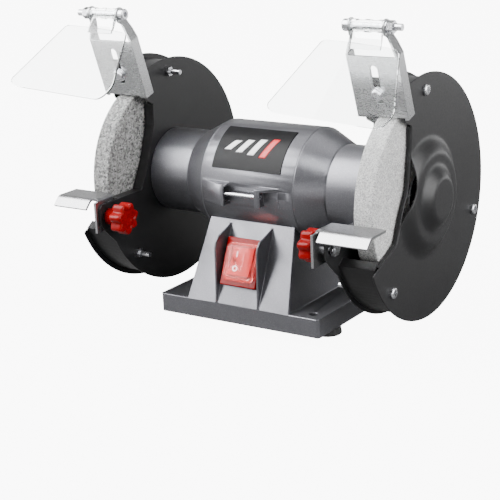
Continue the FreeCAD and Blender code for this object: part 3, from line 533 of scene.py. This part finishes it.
def meshFromGrids(name, grids):
    # grids: (points (rows, columns, 3) in millimetres, closeRows, closeColumns, kept cells or None)
    verts, faces, start = [], [], 0
    for points, closeRows, closeColumns, kept in grids:
        rows, columns = points.shape[:2]
        quads = gridFaces(rows, columns, closeRows, closeColumns)
        if kept is not None:
            quads = quads[kept.ravel()]
        verts.append(points.reshape(-1, 3) * mm)
        faces.append(quads + start)
        start += rows * columns
    data = bpy.data.meshes.new(name)
    data.from_pydata(np.concatenate(verts).tolist(), [], np.concatenate(faces).tolist())
    work = bmesh.new()
    work.from_mesh(data)
    bmesh.ops.remove_doubles(work, verts=work.verts, dist=0.001 * mm)
    bmesh.ops.dissolve_degenerate(work, edges=work.edges, dist=0.0005 * mm)
    loose = [v for v in work.verts if not v.link_faces]
    bmesh.ops.delete(work, geom=loose, context="VERTS")
    bmesh.ops.recalc_face_normals(work, faces=work.faces)
    work.to_mesh(data)
    work.free()
    data.polygons.foreach_set("use_smooth", np.ones(len(data.polygons), bool))
    return data


def mirrorX(points):
    return points * np.array([-1.0, 1.0, 1.0])


def roundLine(points, radius, steps=6, closed=False):
    # each corner becomes an arc that starts and ends as far from it as the radius asks,
    # but not past the middle of its shorter side
    pts = [np.array(p, float) for p in points]
    out = []
    count = len(pts)
    for i, corner in enumerate(pts):
        if not closed and i in (0, count - 1):
            out.append(corner)
            continue
        before, after = pts[i - 1] - corner, pts[(i + 1) % count] - corner
        lengths = np.linalg.norm(before), np.linalg.norm(after)
        before, after = before / lengths[0], after / lengths[1]
        half = 0.5 * math.acos(np.clip(np.dot(before, after), -1, 1))
        size = radius[i] if isinstance(radius, (list, tuple)) else radius
        reach = min(size / max(math.tan(half), 1e-6), 0.49 * min(lengths))
        if reach < 1e-4:
            out.append(corner)
            continue
        t = np.linspace(0, 1, steps + 1)[:, None]
        start, end = corner + before * reach, corner + after * reach
        weight = math.sin(half)
        bend = (1 - t) ** 2 * start + 2 * weight * t * (1 - t) * corner + t ** 2 * end
        out.extend(bend / ((1 - t) ** 2 + 2 * weight * t * (1 - t) + t ** 2))
    return np.array(out)


def turnedX(profile, steps, y=0.0, z=None, closed=False):
    # a line of (x, radius) points turned once round the X direction: (x, y + r cos a, z + r sin a)
    z = shaftZ / mm if z is None else z
    angle = np.linspace(0, 2 * math.pi, steps, endpoint=False)
    x, r = profile[:, 0][:, None], profile[:, 1][:, None]
    points = np.stack([x + 0 * angle, y + r * np.cos(angle), z + r * np.sin(angle)], axis=-1)
    return points, closed, True, None


# Grinding wheels: a turned block with rounded arrises, roughened by fine pits

wheelLook = {"edge": 1.2, "around": 900, "bore": 6.45, "hub": 30.0, "plainTo": 29.5, "thickest": 17,
             "rimStep": 0.62, "sideStep": 1.3, "pit": {"right": 0.10, "left": 0.16},
             "seed": {"right": 7, "left": 11}}


def makeWheel(side):
    # a rounded rectangle turned round the shaft, its points drawn in by pit * random^3
    look = wheelLook
    low, high = [np.array(c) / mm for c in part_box(side + "_wheel")]
    xIn, xOut = sorted((abs(low[0]), abs(high[0])))
    radius, hub, bore = 0.5 * (high[2] - low[2]), look["hub"], look["bore"]
    corners = [(xIn, hub), (xIn, radius), (xOut, radius), (xOut, hub)]
    outline = roundLine(corners, look["edge"], 4)
    dense = [np.array([[xIn, bore], [xIn, hub - 1]])]
    for a, b in zip(outline[:-1], outline[1:]):
        length = np.linalg.norm(b - a)
        step = look["rimStep"] if length < look["thickest"] else look["sideStep"]
        pieces = max(int(length / step), 1)
        dense.append(a + (b - a) * np.linspace(0, 1, pieces, endpoint=False)[:, None])
    dense.append(np.array([[xOut, hub - 1], [xOut, bore]]))
    points = turnedX(np.concatenate(dense), look["around"], closed=True)[0]
    rough = np.random.default_rng(look["seed"][side]).random(points.shape[:2])
    centre = np.array([0.5 * (xIn + xOut), 0.0, shaftZ / mm])
    inward = (centre - points) / np.linalg.norm(centre - points, axis=-1, keepdims=True)
    gritty = (np.hypot(points[..., 1], points[..., 2] - shaftZ / mm) > look["plainTo"])
    points = points + inward * (rough ** 3 * look["pit"][side] * gritty)[..., None]
    if side == "left":
        points = mirrorX(points)
    slotName = slotOf[side + "_wheel"]
    data = meshFromGrids(side + "Wheel", [(points, True, True, None)])
    finishPiece(side + "Wheel", data, slotName, "rotor", (side + "_wheel",))


# Outer covers: a flat disc, cut away in front, whose middle rises in two soft steps

coverLook = {"face": 132.6, "radius": 93.4, "sheet": 1.2, "rows": 200, "columns": 150, "band": 4.0,
             "steps": ((47.0, 32.5, 7.0), (27.0, 14.5, 6.4)), "turnedIn": (-36.0, 58.6),
             "cut": [(-45.1, 94.9), (-34.5, 63.2), (-24.5, 58.5), (-25.5, 41.0), (-30.2, 13.0),
                     (-40.0, -3.0), (-49.0, -23.0), (-61.0, -28.5), (-75.0, -33.5),
                     (-93.0, -39.5)],
             "cutSoft": [0, 2, 2, 6, 20, 12, 6, 8, 8, 0]}


def coverHeight(radius):
    # the face plus one smooth step, 3t^2 - 2t^3, for each ring of the dome
    height = np.full_like(radius, coverLook["face"])
    for outer, inner, rise in coverLook["steps"]:
        t = np.clip((outer - radius) / (outer - inner), 0, 1)
        height = height + rise * t * t * (3 - 2 * t)
    return height


def makeCover(side):
    # for each level the sheet runs from the cut or the rim in front to the rim behind
    reach, sheet = coverLook["radius"], coverLook["sheet"]
    cut = roundLine(coverLook["cut"], coverLook["cutSoft"], 4)
    level = reach * np.sin(np.linspace(-0.5 * math.pi, 0.5 * math.pi, coverLook["rows"]))
    level = np.unique(np.concatenate([level, cut[(np.abs(cut[:, 1]) < reach), 1]]))
    chord = np.sqrt(np.maximum(reach * reach - level * level, 0))
    order = np.argsort(cut[:, 1])
    line = np.interp(level, cut[order, 1], cut[order, 0])
    front = np.where(level > cut[-1, 1], np.maximum(line, -chord), -chord)
    half = 0.5 * (chord - front)
    middle = 0.5 * (chord + front)
    h = np.minimum(0.5 * sheet, half)
    across = np.linspace(-1, 1, coverLook["columns"])
    bend = np.linspace(0, math.pi, 5)[1:-1]
    # once round the sheet: over the face, round the back edge, under it, round the front edge
    flatPart = np.concatenate([across, np.full(3, 1.0), across[::-1], np.full(3, -1.0)])
    edgeY = np.concatenate([0 * across, np.sin(bend), 0 * across, -np.sin(bend)])
    edgeX = np.concatenate([0 * across + 1, np.cos(bend), 0 * across - 1, -np.cos(bend)])
    y = middle[:, None] + (half - h)[:, None] * flatPart + h[:, None] * edgeY
    z = np.repeat(level[:, None], y.shape[1], axis=1)
    x = coverHeight(np.hypot(y, z)) - 0.5 * sheet + 0.5 * sheet * edgeX
    grids = [(np.stack([x, y, z + shaftZ / mm], axis=-1), False, True, None)]
    # the cut edge is turned in: a strip as deep as the band, carried along the cut
    lowEnd, highEnd = coverLook["turnedIn"]
    path = cut[(cut[:, 1] < highEnd) & (cut[:, 1] > lowEnd)]
    along = np.gradient(path, axis=0)
    along /= np.linalg.norm(along, axis=1, keepdims=True)
    normal = np.stack([-along[:, 1], along[:, 0]], axis=1)
    back, face = coverLook["face"] - coverLook["band"], coverLook["face"] - 0.3
    ring = [(face, 0.05), (back + 0.3, 0.05), (back, 0.35), (back, 0.9), (back + 0.3, 1.2),
            (face, 1.2)]
    rows = [np.column_stack([np.full(len(path), px), path + normal * depth]) for px, depth in ring]
    strip = np.stack(rows, axis=1) + np.array([0, 0, shaftZ / mm])
    ends = [np.repeat(strip[i].mean(axis=0)[None, None], len(ring), axis=1) for i in (0, -1)]
    grids.append((np.concatenate([ends[0], strip, ends[1]]), False, True, None))
    if side == "left":
        grids = [(mirrorX(points), a, b, kept) for points, a, b, kept in grids]
    data = meshFromGrids(side + "Cover", grids)
    nodeName = side + "_outer_cover"
    finishPiece(side + "Cover", data, slotOf[nodeName], "frame", (nodeName,))


# Knobs: seven soft lobes, a dished face with a raised middle, a round neck

knobLook = {"lobes": 7, "valley": 9.9, "crest": 12.7, "mean": 12.1, "around": 280,
            "softness": 0.85, "phase": 0.2, "head": {"right": 11.0, "left": 11.5},
            "axisY": -89.5, "belowShaft": 19.0}


def makeKnob(side):
    # radius = row's radius + share * (wave - mean), wave = (1/2 + cos(lobes * angle) / 2)^softness
    look = knobLook
    low, high = [np.array(c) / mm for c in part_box(side + "_rest_knob")]
    outer, neck = sorted((abs(low[0]), abs(high[0])))
    inner = outer + look["head"][side]
    axisY, axisZ = look["axisY"], shaftZ / mm - look["belowShaft"]
    # each row: along X, radius, how much of the lobes it carries
    dish = [(1.3, 0.0, 0), (1.3, 2.6, 0), (0.5, 3.4, 0), (0.35, 4.6, 0), (0.9, 5.6, 0),
            (1.2, 6.8, 0.1), (0.5, 8.0, 0.5), (0.05, 9.3, 0.8), (0.0, 10.2, 1), (0.35, 11.2, 1),
            (1.1, 11.9, 1), (2.2, 12.1, 1)]
    rear = [(-2.2, 12.1, 1), (-1.1, 11.9, 1), (-0.35, 11.2, 1), (0, 10.2, 1), (0, 8.6, 0.4),
            (0.2, 7.4, 0), (1.0, 6.6, 0)]
    stem = [(neck - 0.5, 6.4, 0), (neck, 5.9, 0), (neck, 3.1, 0), (outer + 3.2, 3.1, 0),
            (outer + 3.2, 0.0, 0)]
    rows = [(outer + dx, r, share) for dx, r, share in dish]
    rows += [(inner + dx, r, share) for dx, r, share in rear] + stem
    rows = np.array(rows)
    angle = np.linspace(0, 2 * math.pi, look["around"], endpoint=False)
    wave = (0.5 + 0.5 * np.cos(look["lobes"] * (angle - look["phase"]))) ** look["softness"]
    spread = look["valley"] + (look["crest"] - look["valley"]) * wave - look["mean"]
    r = rows[:, 1][:, None] + rows[:, 2][:, None] * spread[None, :]
    x = np.repeat(rows[:, 0][:, None], len(angle), axis=1)
    points = np.stack([x, axisY + r * np.cos(angle), axisZ + r * np.sin(angle)], axis=-1)
    if side == "left":
        points = mirrorX(points)
    data = meshFromGrids(side + "Knob", [(points, False, True, None)])
    finishPiece(side + "Knob", data, "red_plastic", side + "_knob", (side + "_rest_knob",))


# Tool rests: one sheet that turns down into a flange at its inner end and into a lip in front

restSteel = rubbedSteel()
restLook = {"top": -3.0, "back": -80.5, "front": -102.0, "outer": 141.0, "drop": 6.6,
            "flangeDrop": 27.0, "bend": 2.6, "lipBend": 6.0, "notch": 5.5, "sheet": 2.0,
            "edge": 0.45, "flangeIn": {"right": 95.0, "left": 102.9},
            "ahead": {"right": 5.0, "left": 0.8}}


def makeRest(side):
    # rows run from back to front and columns up the flange, round its bend and along the top
    look = restLook
    xIn, r, top = look["flangeIn"][side], look["bend"], shaftZ / mm + look["top"]
    turn = np.linspace(0, 0.5 * math.pi, 9)
    flangeX, flangeZ = np.full(12, xIn), np.linspace(top - look["flangeDrop"], top - r, 12)
    notchX = xIn + look["notch"]
    plateX = np.concatenate([[notchX], np.linspace(notchX + 2, look["outer"], 22)])
    acrossX = np.concatenate([flangeX, xIn + r - r * np.cos(turn)[1:], plateX])
    acrossZ = np.concatenate([flangeZ, top - r + r * np.sin(turn)[1:], np.full(len(plateX), top)])
    lipEnd = (look["front"] - look["drop"], -look["drop"])
    lip = roundLine([(look["back"], 0.0), (look["front"], 0.0), lipEnd], look["lipBend"], 8)
    flatRows = 14
    plain = np.column_stack([np.linspace(look["back"], lip[1][0], flatRows), np.zeros(flatRows)])
    lipRows = np.concatenate([plain, lip[2:]])
    extra = np.linspace(0, look["ahead"][side], len(lipRows) - flatRows + 1)[1:]
    flangeBack = np.linspace(look["back"] - 1, look["front"], flatRows)
    flangeRows = np.concatenate([flangeBack, look["front"] - extra])
    hangs = np.arange(len(acrossX)) < len(flangeX)
    y = np.where(hangs[:, None], flangeRows[None, :], lipRows[None, :, 0])
    z = acrossZ[:, None] + np.where(hangs[:, None], 0, lipRows[None, :, 1])
    x = np.repeat(acrossX[:, None], len(lipRows), axis=1)
    points = np.stack([x, y, z], axis=-1)
    kept = np.ones((len(acrossX) - 1, len(lipRows) - 1), bool)
    firstPlate = len(flangeX) + len(turn) - 1
    kept[len(flangeX) - 1:firstPlate, flatRows - 1:] = False
    if side == "left":
        points = mirrorX(points)
    data = meshFromGrids(side + "Rest", [(points, False, False, kept)])
    if sum(p.normal[2] * p.area for p in data.polygons) < 0:
        data.flip_normals()
    nodeName = side + "_tool_rest"
    piece = finishPiece(side + "Rest", data, slotOf[nodeName], side + "_rest", (nodeName,))
    data.materials.clear()
    data.materials.append(restSteel)
    sheet = piece.modifiers.new("sheet", "SOLIDIFY")
    sheet.thickness = look["sheet"] * mm
    sheet.offset = -1.0
    edges = piece.modifiers.new("edges", "BEVEL")
    edges.width = look["edge"] * mm
    edges.segments = 2
    edges.limit_method = "ANGLE"
    edges.angle_limit = math.radians(50)
    edges.harden_normals = True


# Eye shields: a clear sheet hung from a moulded barrel on the pivot bolt

shieldLook = {"middle": 117.0, "thick": 2.0, "edge": 0.5, "tilt": {"right": 74.0, "left": 58.0},
              "outline": [(-35, -11), (-12.2, -12.0), (12.2, -13.8), (26.5, -15.5), (28, -60),
                          (19, -71), (-70, -65.5), (-77, -61)],
              "corners": [7, 2, 2, 5, 12, 12, 6, 5], "centre": (-18.0, -42.0), "barrel": 12.2,
              "sharpAngle": 20}


def pivotPlace():
    # the middle of the pivot bolt: y and z in millimetres, the same on both sides
    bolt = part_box("right_pivot_bolt")
    return 0.5 * (bolt[0][1] + bolt[1][1]) / mm, 0.5 * (bolt[0][2] + bolt[1][2]) / mm


def hang(points, side):
    # from the sheet's own plane (x, height, depth) to its place: turned about X by its tilt
    # and moved to the pivot
    y, z = pivotPlace()
    a = math.radians(shieldLook["tilt"][side] - 90)
    middle = shieldLook["middle"] if side == "right" else -shieldLook["middle"]
    x, height, depth = points[..., 0] + middle, points[..., 1], points[..., 2]
    across = depth * math.cos(a) - height * math.sin(a)
    above = depth * math.sin(a) + height * math.cos(a)
    return np.stack([x, y + across, z + above], axis=-1)


def makeShield(side):
    look = shieldLook
    outline = roundLine(look["outline"], look["corners"], 8, closed=True)
    centre = np.array(look["centre"])
    away = outline - centre
    away = away / np.linalg.norm(away, axis=1, keepdims=True)
    h = 0.5 * look["thick"]
    # rows from the middle of one face, round the soft edge, and back over the other face
    rows = [(-1.0, h), (-0.5, h), (-look["edge"], h), (-0.3 * look["edge"], h - 0.3 * look["edge"]),
            (0.0, h - look["edge"])]
    rows = rows + [(inset, -depth) for inset, depth in rows[::-1]]
    grid = []
    for i, (inset, depth) in enumerate(rows):
        if i in (0, len(rows) - 1):
            flat = np.repeat(centre[None], len(outline), axis=0)
        elif i in (1, len(rows) - 2):
            flat = centre + (outline - centre) * 0.5
        else:
            flat = outline + away * inset
        grid.append(np.column_stack([flat, np.full(len(outline), depth)]))
    sheet = hang(np.stack(grid), side)
    # the tongue: a rounded bar as wide as the barrel that thickens from the sheet up to it
    around = np.linspace(0, 2 * math.pi, 48, endpoint=False)
    ring = np.column_stack([np.sign(np.cos(around)) * np.abs(np.cos(around)) ** 0.22,
                            np.sign(np.sin(around)) * np.abs(np.sin(around)) ** 0.5])
    levels = [(-16.5, 11.9, 0.9), (-16.5, 12.0, 1.15), (-12.0, 12.0, 1.4), (-7.0, 11.6, 1.9),
              (-3.0, 11.6, 3.0), (-1.6, 11.6, 3.2), (-1.6, 11.0, 2.4)]
    bar = [np.column_stack([ring[:, 0] * wide, np.full(len(ring), level), ring[:, 1] * deep])
           for level, wide, deep in levels]
    bar = [np.repeat(bar[0].mean(axis=0)[None], len(ring), axis=0)] + bar
    bar = bar + [np.repeat(bar[-1].mean(axis=0)[None], len(ring), axis=0)]
    tongue = hang(np.stack(bar), side)
    # the barrel: a tube with three moulded collars
    reach, soft = look["barrel"], 0.5
    profile = [(-reach, 2.6), (-reach, 4.1), (-reach + soft, 4.6), (-8.5, 4.6), (-8.0, 4.0),
               (-2.8, 4.0), (-2.3, 4.6), (2.3, 4.6), (2.8, 4.0), (8.0, 4.0), (8.5, 4.6),
               (reach - soft, 4.6), (reach, 4.1), (reach, 2.6)]
    profile = np.array(profile)
    x, r = profile[:, 0][:, None] + 0 * around, profile[:, 1][:, None]
    tube = hang(np.stack([x, r * np.cos(around), r * np.sin(around)], axis=-1), side)
    grids = [(sheet, False, True, None), (tongue, False, True, None), (tube, True, True, None)]
    data = meshFromGrids(side + "Shield", grids)
    data.set_sharp_from_angle(angle=math.radians(look["sharpAngle"]))
    finishPiece(side + "Shield", data, "clear_plastic", side + "_shield", (side + "_eye_shield",))


# End bells: a turned shell with soft edges where the cone meets the drum and the neck

bellLook = {"around": 160, "sharpAngle": 38,
            "profile": [(35.9, 41.5), (41.7, 41.5), (41.9, 45.3), (42.6, 45.5), (63.2, 35.0),
                        (64.2, 34.1), (100.6, 34.0), (101.4, 33.2), (101.4, 11.6), (98.3, 11.6),
                        (98.3, 17.5), (87.0, 17.5), (87.0, 22.0), (97.6, 22.0), (97.6, 30.2),
                        (63.5, 30.2), (44.0, 38.0), (35.9, 38.0)],
            "soft": [0.2, 0, 0.3, 2.0, 1.2, 0.6, 0.8, 0.5, 0.3, 0.3, 0, 0, 0, 1, 2, 3, 2, 0.3]}


def makeBell(side):
    # the closed outline (x, radius) turned once round the shaft
    outline = roundLine(bellLook["profile"], bellLook["soft"], 5, closed=True)
    points = turnedX(outline, bellLook["around"], closed=True)[0]
    if side == "left":
        points = mirrorX(points)
    data = meshFromGrids(side + "Bell", [(points, True, True, None)])
    data.set_sharp_from_angle(angle=math.radians(bellLook["sharpAngle"]))
    finishPiece(side + "Bell", data, "grey_paint", "frame", (side + "_end_bell",))


# Switch boot: rounded-rectangle rings from the skirt up to a softly crowned top

panelLook = {"footY": 65.1, "topY": 39.4, "topZ": 59.5, "switchAt": 33.5}
bootLook = {"half": (11.75, 13.5), "skirt": (13.4, 15.2), "foot": 5.02, "top": 12.6,
            "corner": 2.6, "wall": 1.0}


def roundedRing(halfX, halfY, corner, steps=8):
    # a rectangle about the origin, its four corners turned into arcs
    corners = [(halfX, halfY), (-halfX, halfY), (-halfX, -halfY), (halfX, -halfY)]
    return roundLine(corners, corner, steps, closed=True)


def onPanel(points):
    # drawn flat on the switch panel: across, up the slope, out of the panel
    look = panelLook
    tilt = math.atan2(look["topZ"], look["footY"] - look["topY"])
    co, si = math.cos(tilt), math.sin(tilt)
    y0, z0 = -look["footY"] + look["switchAt"] * co, look["switchAt"] * si
    x, up, out = points[..., 0], points[..., 1], points[..., 2]
    return np.stack([x, y0 + up * co - out * si, z0 + up * si + out * co], axis=-1)


def makeBoot():
    # rings (half width, half length, height) over the outside, then back down the inside
    look = bootLook
    (hx, hy), (sx, sy), top, foot = look["half"], look["skirt"], look["top"], look["foot"]
    levels = [(sx, sy, foot), (sx, sy, foot + 0.6), (sx - 0.3, sy - 0.3, foot + 0.9),
              (hx + 0.5, hy + 0.5, foot + 1.0), (hx, hy, foot + 1.6),
              (hx - 0.2, hy - 0.2, top - 2.0), (hx - 0.5, hy - 0.5, top - 1.1),
              (hx - 1.1, hy - 1.1, top - 0.45), (hx - 2.2, hy - 2.2, top - 0.15),
              (hx * 0.5, hy * 0.5, top), (0.02, 0.02, top)]
    wall = look["wall"]
    inside = [(max(a - wall, 0.01), max(b - wall, 0.01), c - wall) for a, b, c in levels[4:]]
    inside = [(hx - wall, hy - wall, foot)] + inside
    rings = [roundedRing(a, b, min(look["corner"], 0.9 * a)) for a, b, c in levels + inside[::-1]]
    heights = [c for a, b, c in levels + inside[::-1]]
    rings = [np.column_stack([flat, np.full(len(flat), c)]) for flat, c in zip(rings, heights)]
    points = onPanel(np.stack(rings))
    data = meshFromGrids("switchBoot", [(points, True, True, None)])
    finishPiece("switchBoot", data, "clear_vinyl", "frame", ("switch_boot",))


# Marks: slanted bars on the nameplate, a bar and a ring raised on the switch boot

markLook = {"bars": [(-22, 9.0), (-11, 12.0), (0, 15.0)], "accent": (11, 18.0), "width": 6.0,
            "slant": 7.0, "middle": 46.5, "plate": 46.3, "proud": 0.03, "thick": 0.05,
            "colour": (0.80, 0.80, 0.80), "accentColour": (0.55, 0.01, 0.012)}


switchMarkLook = {"line": 0.45, "tall": 2.3, "ring": 2.3, "away": 5.6, "proud": 0.12, "sunk": 0.3}


def printInk(name, colour):
    mat, tree, shader, coords = startMaterial(name, colour, 0.35)
    cloud = addNoise(tree, coords, 200.0, 3.0)
    roughen(tree, shader, cloud, 0.30, 0.42)
    return mat


def makeBar(name, start, tall, ink):
    # a leaning patch of the nameplate's skin: x runs along the drum and the angle runs up it,
    # made a thin film by Solidify
    radius = markLook["plate"] + markLook["proud"]
    spread = math.degrees(tall / radius)
    t, a = np.meshgrid(np.linspace(0, 1, 7), np.linspace(-0.5, 0.5, 13), indexing="ij")
    x = start + t * markLook["width"] + a * markLook["slant"]
    angle = np.radians(markLook["middle"] + a * spread)
    r = radius + markLook["thick"]
    skin = np.stack([x, -r * np.cos(angle), shaftZ / mm + r * np.sin(angle)], axis=-1)
    data = meshFromGrids(name, [(skin, False, False, None)])
    piece = finishPiece(name, data, "label_film", "frame")
    outward = sum(p.normal[1] * p.area for p in data.polygons)
    if outward > 0:
        data.flip_normals()
    sheet = piece.modifiers.new("film", "SOLIDIFY")
    sheet.thickness = markLook["thick"] * mm
    sheet.offset = -1.0
    data.materials.clear()
    data.materials.append(ink)


def makeSwitchMarks(ink):
    # a bar on the upper half of the boot and a ring on the lower half, each a low raised band
    look = switchMarkLook
    away, line = np.array([0, look["away"]]), look["line"]
    lowest, highest = bootLook["top"] - look["sunk"], bootLook["top"] + look["proud"]
    edge = roundedRing(line, look["tall"], 0.4, 4) + away
    core = roundedRing(0.02, look["tall"] - line, 0.4, 4) + away
    bar = [(core, lowest), (edge, lowest), (edge, highest), (core, highest)]
    steps = np.linspace(0, 2 * math.pi, 40, endpoint=False)
    circle = np.column_stack([np.cos(steps), np.sin(steps)])
    rim, bore = circle * look["ring"] - away, circle * (look["ring"] - 2 * line) - away
    ring = [(rim, lowest), (rim, highest), (bore, highest), (bore, lowest)]
    grids = []
    for band, closeRows in ((bar, False), (ring, True)):
        rows = [np.column_stack([flat, np.full(len(flat), h)]) for flat, h in band]
        grids.append((onPanel(np.stack(rows)), closeRows, True, None))
    data = meshFromGrids("switchMarks", grids)
    data.set_sharp_from_angle(angle=math.radians(30))
    finishPiece("switchMarks", data, "clear_vinyl", "frame")
    data.materials.clear()
    data.materials.append(ink)


for side in ("right", "left"):
    makeWheel(side)
    makeCover(side)
    makeKnob(side)
    makeRest(side)
    makeShield(side)
    makeBell(side)
print("wheels, covers, knobs, rests, shields and bells made")
makeBoot()
whiteInk = printInk("whiteInk", markLook["colour"])
redInk = printInk("redInk", markLook["accentColour"])
for number, (start, tall) in enumerate(markLook["bars"]):
    makeBar("labelBar%d" % (number + 1), start, tall, whiteInk)
makeBar("labelAccent", *markLook["accent"], redInk)
makeSwitchMarks(whiteInk)
print("switch boot and marks made")
